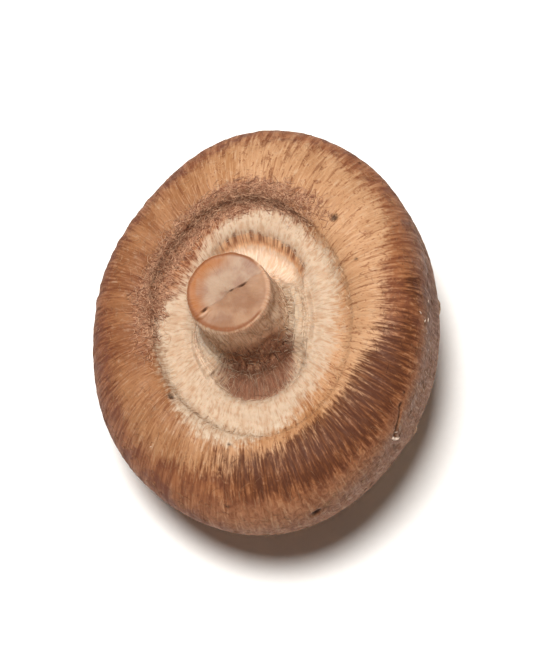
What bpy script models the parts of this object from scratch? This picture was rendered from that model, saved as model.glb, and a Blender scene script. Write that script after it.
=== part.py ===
"""A shiitake mushroom as picked, lying on its cap with the short cut stem up.

It grew as one body, so it is one solid: a plump cap with a cracked crown, a margin that rolls in
over a cottony veil, the pit where the veil tore from the stem, and the stem with its cut end.
Its outline is carried round the stem, and formulas of the turn angle make it uneven. All lengths
are in metres. Heights are along the stem, from the cap's widest ring, up towards the cut end.
"""

import math

import bpy
import numpy as np
from mathutils import Matrix, Vector

MM = 0.001

# The cap
CAP_RADIUS = 28.7 * MM
DOME_DEPTH = 21.5 * MM  # widest ring to crown
DOME_FULLNESS = 2.15  # 2 is an ellipse, more is squarer at the shoulder
DOME_LEAN = 6.5 * MM  # how far the crown grew to the side that its stem leans from
LIP_RADIUS = 20.3 * MM  # where the rolled margin stands highest
LIP_HEIGHT = 8.6 * MM
VEIL_RADIUS = 16.0 * MM  # where the margin meets the veil
VEIL_HEIGHT = 4.7 * MM

# Veil, pit and stem as (radius, height), from the margin in to the middle of the cut
INNER_OUTLINE = (
    (VEIL_RADIUS, VEIL_HEIGHT),
    (14.8 * MM, 5.3 * MM),
    (13.2 * MM, 5.5 * MM),  # top of the veil's cushion
    (11.8 * MM, 5.0 * MM),
    (10.9 * MM, 3.9 * MM),  # torn edge over the pit
    (10.4 * MM, 2.7 * MM),
    (9.5 * MM, 1.9 * MM),  # floor of the pit
    (8.3 * MM, 2.4 * MM),
    (7.2 * MM, 4.4 * MM),  # foot of the stem, which flares
    (6.6 * MM, 7.8 * MM),
    (6.4 * MM, 11.6 * MM),
    (6.4 * MM, 14.2 * MM),
    (6.1 * MM, 15.1 * MM),  # rounded edge of the cut
    (5.2 * MM, 15.2 * MM),
    (2.7 * MM, 14.9 * MM),
    (0.0, 14.8 * MM),
)
PIT_EDGE_RADIUS = 10.9 * MM
PIT_FLOOR_RADIUS = 9.5 * MM
STEM_ROOT_RADIUS = 7.0 * MM  # where the pit's unevenness has died out
STEM_FOOT_HEIGHT = 4.4 * MM
STEM_END_HEIGHT = 15.2 * MM
STEM_LEAN = Vector((-1.0 * MM, 0.8 * MM))  # how far the cut end stands off the axis

# Uneven growth round the stem: (whole waves in a turn, share of the radius, angle of a crest).
# The cap's go through every ring, and the others are added at their own ring
CAP_WAVES = ((1, 0.060, -14), (2, 0.105, 82), (3, 0.015, -53), (4, 0.013, 1), (6, 0.005, -23))
VEIL_WAVES = ((1, 0.012, 180), (2, 0.046, 114), (5, 0.010, 10))
PIT_WAVES = ((1, 0.021, 52), (2, 0.100, 104), (7, 0.010, 0))
LIP_WAVES = ((1, 0.019, -27), (2, 0.064, -27), (3, 0.010, 10))
LIP_HEIGHT_WAVES = ((2, 0.7 * MM, 20), (3, 0.5 * MM, 250), (5, 0.3 * MM, 80))  # in height

# Two strands of veil still join the stem and part the pit: (turn, half its turn, rise)
STRANDS = ((-2, 17, 2.3 * MM), (208, 42, 2.1 * MM))
STRAND_REACH = 2.4 * MM  # from the pit's floor, either way
STRAND_TOP = 6 * MM  # the strands stay below this

# Fibres: whole waves in a turn, all about as strong, that beat into uneven ridges
MARGIN_FIBRES = (61, 43, 79, 34)
MARGIN_FIBRE_HEIGHT = 0.33 * MM
MARGIN_FIBRE_LOW = -2 * MM  # heights between which they grow to full height
MARGIN_FIBRE_FULL = 6 * MM
PIT_FIBRES = (51, 38, 64)
PIT_FIBRE_HEIGHT = 0.3 * MM
PIT_WALL_RADIUS = 10.6 * MM
FIBRE_TWIST = 2.5  # most that a fibre turns, in radians, over FIBRE_RUN
FIBRE_RUN = 10 * MM

# Cracked crown: bands of pale flesh between plates of skin, and spindles that run out from them
PLATE_COUNT = 13
PLATE_SPACING = 6.6 * MM  # of a sunflower spiral that sets out the plates' middles
PLATE_JITTER = 1.8 * MM
NET_REACH = 23 * MM  # from the crown, along the skin
BAND_HALF_WIDTH = 1.1 * MM
BAND_HEIGHT = 0.55 * MM
BAND_EDGE = 0.5 * MM
CROWN_TOP = -8 * MM  # the bands end this far below the widest ring
CROWN_FADE = 4 * MM
SPINDLE_COUNT = 11
SPINDLE_START = 16 * MM
SPINDLE_LENGTH = 16 * MM
SPINDLE_HALF_WIDTH = 1.5 * MM
SEED = 23

# The nick in the margin, on its outer flank
NICK_TURN = -43
NICK_HALF_TURN = 1.8
NICK_HEIGHT = -1.5 * MM
NICK_HALF_HEIGHT = 3.4 * MM
NICK_DEPTH = 1.1 * MM

# The split across the cut end
SPLIT_TURN = 32
SPLIT_HALF_WIDTH = 0.35 * MM
SPLIT_DEPTH = 0.35 * MM
CUT_RADIUS = 6.0 * MM
CUT_HEIGHT = 13.5 * MM  # the split stays above this

# How it lies: the stem leans from upright, and the skin is pressed flat where it rests
REST_LEAN = 12.8
REST_LEAN_TURN = -150
REST_REACH = 9.5 * MM  # from the crown to where it touches, along the skin
REST_TURN = 220
PRESSED_DEPTH = 0.42 * MM
PRESSED_RADIUS = 6.5 * MM  # crown relief fades out round this

# The mesh: a fine surface, then the triangles that best keep its shape
COLUMNS = 400
DOME_ROWS = 92
LIP_ROWS = 30
WALL_ROWS = 16
INNER_ROWS_PER_POINT = 6
TRIANGLES = 11300

BROWN = (0.30, 0.125, 0.055, 1.0)
ROUGHNESS = 0.62


def waves(turn, terms):
    """Sum of whole cosine waves round the stem."""
    return sum(size * np.cos(count * (turn - math.radians(crest))) for count, size, crest in terms)


def fade(value, start, end):
    """0 before start, 1 past end, smooth between; start may be above end."""
    share = np.clip((value - start) / (end - start), 0, 1)
    return share * share * (3 - 2 * share)


def turn_from(turn, degrees):
    """Angle in degrees from a direction, the short way round."""
    return np.degrees((turn - math.radians(degrees) + math.pi) % (2 * math.pi) - math.pi)


def smooth_path(points, steps):
    """Catmull-Rom curve through the points, with its first point left out."""
    ends = np.array(points)
    before = np.vstack([2 * ends[0] - ends[1], ends, 2 * ends[-1] - ends[-2]])
    share = (np.arange(steps) + 1)[:, None] / steps
    rows = []
    for a, b, c, d in zip(before, before[1:], before[2:], before[3:]):
        rows.append(
            b
            + 0.5 * share * (c - a)
            + share**2 * (a - 2.5 * b + 2 * c - 0.5 * d)
            + share**3 * (1.5 * (b - c) + 0.5 * (d - a))
        )
    return np.vstack(rows)


def outline():
    """(radius, height) of each row, from the crown out, over the margin and in to the cut."""
    angle = np.linspace(0, math.pi / 2, DOME_ROWS + 1)
    power = 2 / DOME_FULLNESS
    dome = np.stack([CAP_RADIUS * np.sin(angle) ** power, -DOME_DEPTH * np.cos(angle) ** power], 1)
    angle = np.linspace(0, math.pi / 2, LIP_ROWS + 1)[1:]
    lip = np.stack(
        [LIP_RADIUS + (CAP_RADIUS - LIP_RADIUS) * np.cos(angle), LIP_HEIGHT * np.sin(angle)], 1
    )
    angle = np.linspace(0, math.pi / 2, WALL_ROWS + 1)[1:]
    wall = np.stack(
        [
            LIP_RADIUS - (LIP_RADIUS - VEIL_RADIUS) * np.sin(angle),
            VEIL_HEIGHT + (LIP_HEIGHT - VEIL_HEIGHT) * np.cos(angle),
        ],
        1,
    )
    inner = smooth_path(INNER_OUTLINE, INNER_ROWS_PER_POINT)
    inner[-1, 0] = 0
    return np.vstack([dome, lip, wall, inner])


def along_skin(rows):
    """Distance of each row from the crown, along the outline."""
    return np.concatenate([[0], np.cumsum(np.linalg.norm(np.diff(rows, axis=0), axis=1))])


def normals(points):
    """Outward unit normals of the grid, whose columns close round the stem."""
    along = np.gradient(points, axis=0)
    around = np.roll(points, -1, axis=1) - np.roll(points, 1, axis=1)
    cross = np.cross(around, along)
    return cross / np.maximum(np.linalg.norm(cross, axis=2, keepdims=True), 1e-12)


def plate_net(x, y, reach, random):
    """1 on the bands between the crown's plates, on a map of the skin unrolled round the crown."""
    number = np.arange(PLATE_COUNT)
    golden = math.pi * (3 - math.sqrt(5))
    middles = PLATE_SPACING * np.sqrt(number + 0.6)[:, None] * np.stack(
        [np.cos(number * golden), np.sin(number * golden)], 1
    )
    middles += random.uniform(-PLATE_JITTER, PLATE_JITTER, middles.shape)
    apart = np.sqrt((x[..., None] - middles[:, 0]) ** 2 + (y[..., None] - middles[:, 1]) ** 2)
    apart.sort(axis=2)
    edge = (apart[..., 1] - apart[..., 0]) / 2
    band = fade(edge, BAND_HALF_WIDTH + BAND_EDGE, BAND_HALF_WIDTH)
    return band * fade(reach, NET_REACH, NET_REACH - 5 * MM)


def spindles(turn, reach, random):
    """1 on the long tapered bands that run out from the net towards the margin."""
    total = np.zeros_like(turn)
    for number in range(SPINDLE_COUNT):
        aim = 360 * (number + random.uniform(-0.3, 0.3)) / SPINDLE_COUNT
        start = SPINDLE_START + random.uniform(-3, 4) * MM
        length = SPINDLE_LENGTH * random.uniform(0.6, 1.25)
        slant = math.radians(random.uniform(-9, 9))
        share = (reach - start) / length
        aside = (np.radians(turn_from(turn, aim)) - slant * (share - 0.5)) * reach
        inside = np.clip(share, 0, 1)
        half = SPINDLE_HALF_WIDTH * np.sin(math.pi * inside) ** 0.6 * (1 - 0.35 * inside)
        total = np.maximum(total, fade(np.abs(aside), half + BAND_EDGE, half) * (half > 0.1 * MM))
    return total


def surface():
    """The skin as a grid of points, rows by columns, in the mushroom's own frame with the stem up."""
    rows = outline()
    reach = along_skin(rows)[:, None]
    radius, height = rows[:, :1], rows[:, 1:]
    turn = np.linspace(0, 2 * math.pi, COLUMNS, endpoint=False)[None, :]
    on_dome = np.arange(len(rows))[:, None] <= DOME_ROWS
    past_lip = np.arange(len(rows))[:, None] > DOME_ROWS + LIP_ROWS

    # Uneven rings: the cap's outline fades into the veil's, the pit's and then the round stem
    cap_share = fade(radius, VEIL_RADIUS, LIP_RADIUS) * past_lip + ~past_lip
    veil_share = (1 - cap_share) * fade(radius, PIT_EDGE_RADIUS, VEIL_RADIUS)
    pit_share = (1 - cap_share - veil_share) * fade(radius, STEM_ROOT_RADIUS, PIT_EDGE_RADIUS)
    cap_plan = waves(turn, CAP_WAVES)
    lip_share = fade(height, 0, LIP_HEIGHT) * fade(radius, PIT_EDGE_RADIUS, LIP_RADIUS)
    grown = (
        1
        + (cap_share + veil_share + pit_share) * cap_plan
        + lip_share * waves(turn, LIP_WAVES)
        + veil_share * waves(turn, VEIL_WAVES)
        + pit_share * waves(turn, PIT_WAVES)
    )
    x = radius * grown * np.cos(turn)
    y = radius * grown * np.sin(turn)
    z = height + lip_share * waves(turn, LIP_HEIGHT_WAVES)

    # The strands across the pit
    in_pit = past_lip * fade(np.abs(radius - PIT_FLOOR_RADIUS), STRAND_REACH, STRAND_REACH / 4)
    in_pit = in_pit * fade(height, STRAND_TOP, STEM_FOOT_HEIGHT)
    for strand_turn, half_turn, rise in STRANDS:
        beside = np.abs(turn_from(turn, strand_turn))
        z = z + rise * in_pit * fade(beside, half_turn, half_turn / 3)

    # The crown leans one way under the cap, and the stem the other
    lean_turn = math.radians(REST_LEAN_TURN + 180)
    dome_share = fade(-height, 0, DOME_DEPTH) * on_dome
    x = x + DOME_LEAN * dome_share * math.cos(lean_turn)
    y = y + DOME_LEAN * dome_share * math.sin(lean_turn)
    stem_share = past_lip * fade(height, STEM_FOOT_HEIGHT, STEM_END_HEIGHT)
    stem_share = stem_share * fade(radius, STEM_ROOT_RADIUS + 1 * MM, STEM_ROOT_RADIUS)
    x = x + STEM_LEAN.x * stem_share
    y = y + STEM_LEAN.y * stem_share
    points = np.stack(np.broadcast_arrays(x, y, z), axis=2)
    points = points + relief(turn, reach, radius, height, past_lip)[..., None] * normals(points)

    # The split across the cut
    cut = past_lip * fade(radius, CUT_RADIUS, 0.9 * CUT_RADIUS)
    cut = cut * fade(height, CUT_HEIGHT, CUT_HEIGHT + 1 * MM)
    across = math.radians(SPLIT_TURN + 90)
    from_middle = points[..., :2] - STEM_LEAN
    beside = np.abs(from_middle @ np.array([math.cos(across), math.sin(across)]))
    points[..., 2] -= SPLIT_DEPTH * cut * fade(beside, 2 * SPLIT_HALF_WIDTH, 0)
    return points


def relief(turn, reach, radius, height, past_lip):
    """How far the skin stands out from its smooth form."""
    random = np.random.default_rng(SEED)
    x, y = reach * np.cos(turn), reach * np.sin(turn)
    reach = reach + 0 * turn
    crown = np.maximum(plate_net(x, y, reach, random), spindles(turn, reach, random))
    rest_x = REST_REACH * math.cos(math.radians(REST_TURN))
    rest_y = REST_REACH * math.sin(math.radians(REST_TURN))
    from_rest = np.hypot(x - rest_x, y - rest_y)
    crown = crown * fade(from_rest, PRESSED_RADIUS, PRESSED_RADIUS + 4 * MM)
    crown = crown * ~past_lip * fade(height, CROWN_TOP, CROWN_TOP - CROWN_FADE)

    def fibres(counts):
        twist = random.uniform(-FIBRE_TWIST, FIBRE_TWIST, len(counts))
        phase = random.uniform(0, 2 * math.pi, len(counts))
        bend = reach / FIBRE_RUN
        return sum(
            np.cos(n * turn + p + t * bend) for n, p, t in zip(counts, phase, twist)
        ) / len(counts)

    on_margin = fade(height, MARGIN_FIBRE_LOW, MARGIN_FIBRE_FULL)
    on_margin = on_margin * fade(radius, VEIL_RADIUS - 2 * MM, LIP_RADIUS)
    on_pit_wall = past_lip * fade(np.abs(radius - PIT_WALL_RADIUS), 1.6 * MM, 0.3 * MM)
    total = (
        BAND_HEIGHT * crown
        + MARGIN_FIBRE_HEIGHT * on_margin * fibres(MARGIN_FIBRES)
        + PIT_FIBRE_HEIGHT * on_pit_wall * fibres(PIT_FIBRES)
    )
    nick = fade(np.abs(turn_from(turn, NICK_TURN)), NICK_HALF_TURN, 0.2)
    nick = nick * fade(np.abs(height - NICK_HEIGHT), NICK_HALF_HEIGHT, 1.5 * MM) * ~past_lip
    return total - NICK_DEPTH * nick


def skin_mesh(points):
    """Closed mesh of the grid, with one vertex at the crown and one in the middle of the cut."""
    rows, columns = points.shape[:2]
    crown, cut = points[0].mean(0), points[-1].mean(0)
    vertices = np.vstack([crown[None], points[1:-1].reshape(-1, 3), cut[None]])
    ring = 1 + np.arange((rows - 2) * columns).reshape(rows - 2, columns)
    along = np.roll(ring, -1, axis=1)
    quads = np.stack([ring[:-1], along[:-1], along[1:], ring[1:]], axis=2).reshape(-1, 4)
    last = len(vertices) - 1
    fans = [(0, b, a) for a, b in zip(ring[0], along[0])]
    fans += [(last, a, b) for a, b in zip(ring[-1], along[-1])]
    mesh = bpy.data.meshes.new("mushroom")
    mesh.from_pydata(vertices.tolist(), [], quads.tolist() + [tuple(map(int, f)) for f in fans])
    mesh.validate()
    return mesh


def flesh():
    material = bpy.data.materials.new("mushroom_flesh")
    material.use_nodes = True
    shader = material.node_tree.nodes["Principled BSDF"]
    shader.inputs["Base Color"].default_value = BROWN
    shader.inputs["Roughness"].default_value = ROUGHNESS
    return material


def bench():
    """Cutter whose top is the surface the mushroom lies on."""
    bpy.ops.mesh.primitive_cube_add(size=100 * MM, location=(0, 0, -50 * MM))
    cutter = bpy.context.object
    cutter.name = "bench_cutter"
    cutter.hide_render = True
    cutter.display_type = "WIRE"
    return cutter


def mushroom():
    lean_axis = Matrix.Rotation(math.radians(REST_LEAN_TURN), 3, "Z") @ Vector((0, 1, 0))
    turned = Matrix.Rotation(math.radians(REST_LEAN), 4, lean_axis)
    points = surface()
    lying = points.reshape(-1, 3) @ np.array(turned.to_3x3()).T
    lowest = Vector(lying[lying[:, 2].argmin()])

    body = bpy.data.objects.new("mushroom", skin_mesh(points))
    bpy.context.scene.collection.objects.link(body)
    body.data.materials.append(flesh())
    body.data.shade_smooth()
    body.matrix_world = Matrix.Translation(-lowest - Vector((0, 0, PRESSED_DEPTH))) @ turned

    fewer = body.modifiers.new("triangles", "DECIMATE")
    fewer.ratio = TRIANGLES / (2 * len(body.data.polygons))
    fewer.use_collapse_triangulate = True
    pressed = body.modifiers.new("pressed_flat", "BOOLEAN")
    pressed.operation = "DIFFERENCE"
    pressed.object = bench()
    return body


def main():
    for old in list(bpy.data.objects):
        bpy.data.objects.remove(old)
    mushroom()


main()
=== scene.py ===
import math

import bpy
import numpy as np
from mathutils import Matrix, Vector


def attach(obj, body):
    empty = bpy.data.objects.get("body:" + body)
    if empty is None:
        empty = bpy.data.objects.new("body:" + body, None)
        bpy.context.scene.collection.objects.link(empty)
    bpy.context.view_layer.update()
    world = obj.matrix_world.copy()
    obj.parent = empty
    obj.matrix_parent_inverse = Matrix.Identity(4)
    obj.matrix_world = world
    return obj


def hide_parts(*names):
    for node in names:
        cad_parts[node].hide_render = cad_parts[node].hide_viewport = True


# A picked shiitake lying on its cap, stem up. Lengths are worked out in millimetres along the
# mushroom's own axis and turned into metres, as it lies, when a mesh is made.

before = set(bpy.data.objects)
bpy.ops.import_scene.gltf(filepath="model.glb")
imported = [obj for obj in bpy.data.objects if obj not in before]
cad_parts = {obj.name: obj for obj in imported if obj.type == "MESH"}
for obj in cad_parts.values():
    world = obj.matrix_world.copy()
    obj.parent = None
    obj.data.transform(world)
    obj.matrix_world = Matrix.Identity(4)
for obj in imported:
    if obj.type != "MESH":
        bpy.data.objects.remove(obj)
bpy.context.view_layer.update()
print("frame loaded")

form = {
    "capRadius": 28.7,
    "domeDepth": 21.5,
    "domeFullness": 2.15,
    "domeLean": 6.5,
    "lipRadius": 20.3,
    "lipHeight": 8.6,
    "veilRadius": 16.0,
    "veilHeight": 4.7,
    "creaseReach": 3.0,
    "pitEdgeRadius": 10.9,
    "pitFloorRadius": 9.5,
    "footHeight": 4.4,
    "cutHeight": 15.2,
    "stemLean": (-1.0, 0.8),
    "strands": ((0, 46, 3.0), (212, 48, 2.9)),  # across the pit: turn, half its turn, rise
    "restLean": 12.8,
    "restLeanTurn": -150,
    "middle": (-2.6516, 0.3911, 20.188),  # of the widest ring, as it lies
}

# Veil, pit, stem and cut as (radius, height)
innerOutline = (
    (16.0, 4.7),
    (14.8, 5.3),
    (13.2, 5.5),
    (11.8, 5.0),
    (10.9, 3.9),
    (10.4, 2.7),
    (9.5, 1.9),
    (8.3, 2.4),
    (7.2, 4.4),
    (6.6, 7.8),
    (6.4, 11.6),
    (6.4, 14.2),
    (6.1, 15.1),
    (5.2, 15.2),
    (2.7, 14.9),
    (0.0, 14.8),
)

# Uneven growth round the stem: whole waves in a turn, size, angle of a crest
capWaves = ((1, 0.060, -14), (2, 0.105, 82), (3, 0.015, -53), (4, 0.013, 1), (6, 0.005, -23))
veilWaves = ((1, 0.012, 180), (2, 0.046, 114), (5, 0.010, 10))
pitWaves = ((1, 0.021, 52), (2, 0.100, 104), (7, 0.010, 0))
lipHeightWaves = ((2, 0.7, 20), (3, 0.5, 250), (5, 0.3, 80))
lipWaves = ((1, 0.019, -27), (2, 0.064, -27), (3, 0.010, 10))


def waves(turn, terms):
    return sum(size * np.cos(count * (turn - math.radians(crest))) for count, size, crest in terms)


def fade(value, start, end):
    share = np.clip((value - start) / (end - start), 0, 1)
    return share * share * (3 - 2 * share)


def turnFrom(turn, degrees):
    return np.degrees((turn - math.radians(degrees) + math.pi) % (2 * math.pi) - math.pi)


def nearTurn(turn, degrees, outer, inner):
    # 1 within the inner number of degrees from a turn, 0 past the outer one
    return fade(np.abs(turnFrom(turn, degrees)), outer, inner)


def latticeNoise(x, y, z, seed):
    # Random values on a unit lattice, blended smoothly between its corners, 0 to 1
    cells = [np.floor(value).astype(np.int64) for value in (x, y, z)]
    shares = [value - cell for value, cell in zip((x, y, z), cells)]
    shares = [share * share * (3 - 2 * share) for share in shares]
    total = 0
    for corner in range(8):
        steps = [corner & 1, corner >> 1 & 1, corner >> 2 & 1]
        mixed = seed * 974711
        weight = 1
        for cell, share, step, factor in zip(cells, shares, steps, (374761393, 668265263, 83492791)):
            mixed = mixed + (cell + step) * factor
            weight = weight * (share if step else 1 - share)
        mixed = (mixed ^ (mixed >> 13)) & 0x7FFFFFFF
        mixed = (mixed * 1274126177) & 0x7FFFFFFF
        mixed = (mixed ^ (mixed >> 16)) & 0xFFFF
        total = total + weight * (mixed / 65535)
    return total


def ringNoise(turn, cells, seed):
    return latticeNoise(cells * np.cos(turn), cells * np.sin(turn), 0 * turn, seed)


tubeRadius = 20  # mm, of the tube round the stem that noise and grain lie on


def streakNoise(turn, along, width, length, seed):
    # Lattice noise on the tube, stretched along the growth from rim to stem
    x = tubeRadius / width * np.cos(turn)
    y = tubeRadius / width * np.sin(turn)
    first = latticeNoise(x, y, along / length, seed)
    second = latticeNoise(1.9 * x + 31, 1.9 * y, 1.7 * along / length, seed + 1)
    return 0.65 * first + 0.35 * second


def solidNoise(points, size, seed):
    x, y, z = (points[..., axis] / size for axis in range(3))
    return 0.65 * latticeNoise(x, y, z, seed) + 0.35 * latticeNoise(2.1 * x, 2.1 * y, 2.1 * z, seed + 1)


def smoothPath(points, steps):
    # Catmull-Rom curve through the points
    ends = np.array(points)
    before = np.vstack([2 * ends[0] - ends[1], ends, 2 * ends[-1] - ends[-2]])
    share = (np.arange(steps) + 1)[:, None] / steps
    rows = []
    for a, b, c, d in zip(before, before[1:], before[2:], before[3:]):
        bend = share**2 * (a - 2.5 * b + 2 * c - 0.5 * d) + share**3 * (1.5 * (b - c) + 0.5 * (d - a))
        rows.append(b + 0.5 * share * (c - a) + bend)
    return np.vstack(rows)


def lengthsOf(rows):
    return np.concatenate([[0], np.cumsum(np.linalg.norm(np.diff(rows, axis=0), axis=1))])


def makePath():
    # Quarter of a superellipse, two quarter ellipses over the rolled margin, then the inner outline
    angle = np.linspace(0, math.pi / 2, 500)
    power = 2 / form["domeFullness"]
    dome = np.stack(
        [form["capRadius"] * np.sin(angle) ** power, -form["domeDepth"] * np.cos(angle) ** power], 1
    )
    angle = np.linspace(0, math.pi / 2, 200)[1:]
    roll = form["capRadius"] - form["lipRadius"]
    lip = np.stack([form["lipRadius"] + roll * np.cos(angle), form["lipHeight"] * np.sin(angle)], 1)
    drop = form["lipHeight"] - form["veilHeight"]
    wall = np.stack(
        [
            form["lipRadius"] - (form["lipRadius"] - form["veilRadius"]) * np.sin(angle),
            form["veilHeight"] + drop * np.cos(angle),
        ],
        1,
    )
    rows = np.vstack([dome, lip, wall, smoothPath(innerOutline, 30)])
    ends = np.cumsum([len(dome), len(lip), len(wall)]) - 1
    # Cotton rounds off the crease where the wall meets the veil: a parabola from side to side
    along = lengthsOf(rows)
    share = (along - along[ends[2]] + form["creaseReach"]) / (2 * form["creaseReach"])
    inside = (share > 0) & (share < 1)
    first, last = rows[inside][0], rows[inside][-1]
    share = share[inside][:, None]
    corner = 2 * share * (1 - share) * rows[ends[2]]
    rows[inside] = (1 - share) ** 2 * first + corner + share**2 * last
    along = lengthsOf(rows)
    return {"along": along, "radius": rows[:, 0], "height": rows[:, 1], "ends": along[ends]}


path = makePath()
domeEnd, lipEnd, wallEnd = path["ends"]


def outlineAt(along):
    # Radius and height of the outline at a length along it
    return [np.interp(along, path["along"], path[label]) for label in ("radius", "height")]


def alongWhere(radius, height):
    apart = np.hypot(path["radius"] - radius, path["height"] - height)
    apart[path["along"] < lipEnd] = 1e9
    return path["along"][apart.argmin()]


# The veil's torn edge, the floor of the pit and the edge of the cut
torn, pitFloor, cutEdge = (alongWhere(*innerOutline[row]) for row in (4, 6, 12))


def smoothSkin(along, turn):
    # The outline carried round the stem, every ring pushed in and out by its waves, strands
    # raised across the pit, and dome and stem moved sideways to lean
    radius, height = outlineAt(along)
    pastLip = along > lipEnd
    capShare = np.where(pastLip, fade(radius, form["veilRadius"], form["lipRadius"]), 1)
    veilShare = (1 - capShare) * fade(radius, form["pitEdgeRadius"], form["veilRadius"])
    pitShare = (1 - capShare - veilShare) * fade(radius, 7.0, form["pitEdgeRadius"])
    lipShare = fade(height, 0, form["lipHeight"]) * fade(radius, form["pitEdgeRadius"], form["lipRadius"])
    grown = 1 + (capShare + veilShare + pitShare) * waves(turn, capWaves)
    grown = grown + lipShare * waves(turn, lipWaves)
    grown = grown + veilShare * waves(turn, veilWaves) + pitShare * waves(turn, pitWaves)
    x = radius * grown * np.cos(turn)
    y = radius * grown * np.sin(turn)
    z = height + lipShare * waves(turn, lipHeightWaves)

    inPit = pastLip * fade(np.abs(radius - form["pitFloorRadius"]), 2.4, 0.6)
    inPit = inPit * fade(height, 6, form["footHeight"])
    for strandTurn, halfTurn, lift in form["strands"]:
        z = z + lift * inPit * nearTurn(turn, strandTurn, halfTurn, halfTurn / 3)

    leanTurn = math.radians(form["restLeanTurn"] + 180)
    domeShare = fade(-height, 0, form["domeDepth"]) * (along <= domeEnd)
    stemShare = pastLip * fade(height, form["footHeight"], form["cutHeight"]) * fade(radius, 8, 7)
    x = x + form["domeLean"] * domeShare * math.cos(leanTurn) + form["stemLean"][0] * stemShare
    y = y + form["domeLean"] * domeShare * math.sin(leanTurn) + form["stemLean"][1] * stemShare
    return np.stack(np.broadcast_arrays(x, y, z), axis=-1)


def unit(vectors):
    return vectors / np.maximum(np.linalg.norm(vectors, axis=-1, keepdims=True), 1e-9)


def skinNormal(along, turn):
    inward = smoothSkin(along + 0.1, turn) - smoothSkin(along - 0.1, turn)
    onward = smoothSkin(along, turn + 0.005) - smoothSkin(along, turn - 0.005)
    return unit(np.cross(onward, inward))


def lifted(along, turn, relief):
    return smoothSkin(along, turn) + relief[..., None] * skinNormal(along, turn)


def turnsOf(columns):
    return np.linspace(0, 2 * math.pi, columns, endpoint=False)[None, :]


toMetres = 0.001
leanAxis = Matrix.Rotation(math.radians(form["restLeanTurn"]), 3, "Z") @ Vector((0, 1, 0))
lying = np.array(Matrix.Rotation(math.radians(form["restLean"]), 3, leanAxis))


def asItLies(points):
    # From the mushroom's own millimetres to metres on the table, pressed flat where it rests
    placed = (points.reshape(-1, 3) @ lying.T + np.array(form["middle"])) * toMetres
    placed[:, 2] = np.maximum(placed[:, 2], 0)
    return placed


def addObject(name, data):
    item = bpy.data.objects.new(name, data)
    bpy.context.scene.collection.objects.link(item)
    return item


def makeMesh(name, vertices, quads, triangles, attributes, material):
    mesh = bpy.data.meshes.new(name)
    faces = np.concatenate([quads.ravel(), triangles.ravel()])
    starts = np.concatenate(
        [np.arange(len(quads)) * 4, len(quads) * 4 + np.arange(len(triangles)) * 3]
    )
    mesh.vertices.add(len(vertices))
    mesh.vertices.foreach_set("co", vertices.astype(np.float32).ravel())
    mesh.loops.add(len(faces))
    mesh.loops.foreach_set("vertex_index", faces.astype(np.int32))
    mesh.polygons.add(len(starts))
    mesh.polygons.foreach_set("loop_start", starts.astype(np.int32))
    mesh.update(calc_edges=True)
    mesh.validate()
    for label, values in attributes.items():
        wide = values.ndim == 2
        layer = mesh.attributes.new(label, "FLOAT_VECTOR" if wide else "FLOAT", "POINT")
        layer.data.foreach_set("vector" if wide else "value", values.astype(np.float32).ravel())
    mesh.materials.append(material)
    mesh.shade_smooth()
    piece = addObject(name, mesh)
    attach(piece, "root")
    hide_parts("mushroom")
    print(name, len(vertices), "vertices", len(quads) * 2 + len(triangles), "triangles")
    return piece


def closedGrid(name, points, fields, material, topPole=True):
    # Rows by columns round the stem. Ends shut with a vertex each, or joined to each other
    rows, columns = points.shape[:2]
    index = np.arange(rows * columns).reshape(rows, columns)
    if not topPole:
        index = np.vstack([index, index[:1]])
    beside = np.roll(index, -1, axis=1)
    quads = np.stack([index[:-1], beside[:-1], beside[1:], index[1:]], axis=2).reshape(-1, 4)
    flat = points.reshape(-1, 3)
    attributes = {label: values.reshape(rows * columns, -1).squeeze() for label, values in fields.items()}
    triangles = np.zeros((0, 3), int)
    if topPole:
        poles = np.stack([points[0].mean(0), points[-1].mean(0)])
        flat = np.vstack([flat, poles])
        first, last = rows * columns, rows * columns + 1
        top = np.stack([np.full(columns, first), beside[0], index[0]], 1)
        bottom = np.stack([np.full(columns, last), index[-1], beside[-1]], 1)
        triangles = np.vstack([top, bottom])
        for label, values in attributes.items():
            shaped = fields[label]
            ends = np.stack([shaped[0].mean(0), shaped[-1].mean(0)])
            attributes[label] = np.concatenate([values, ends.reshape(2, *values.shape[1:])])
    return makeMesh(name, asItLies(flat), quads, triangles, attributes, material)


def flowOf(along, turn):
    # Position on the tube, in mm, for grain that runs from rim to stem
    x = tubeRadius * np.cos(turn)
    y = tubeRadius * np.sin(turn)
    return np.stack(np.broadcast_arrays(x, y, along), axis=-1)


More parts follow.
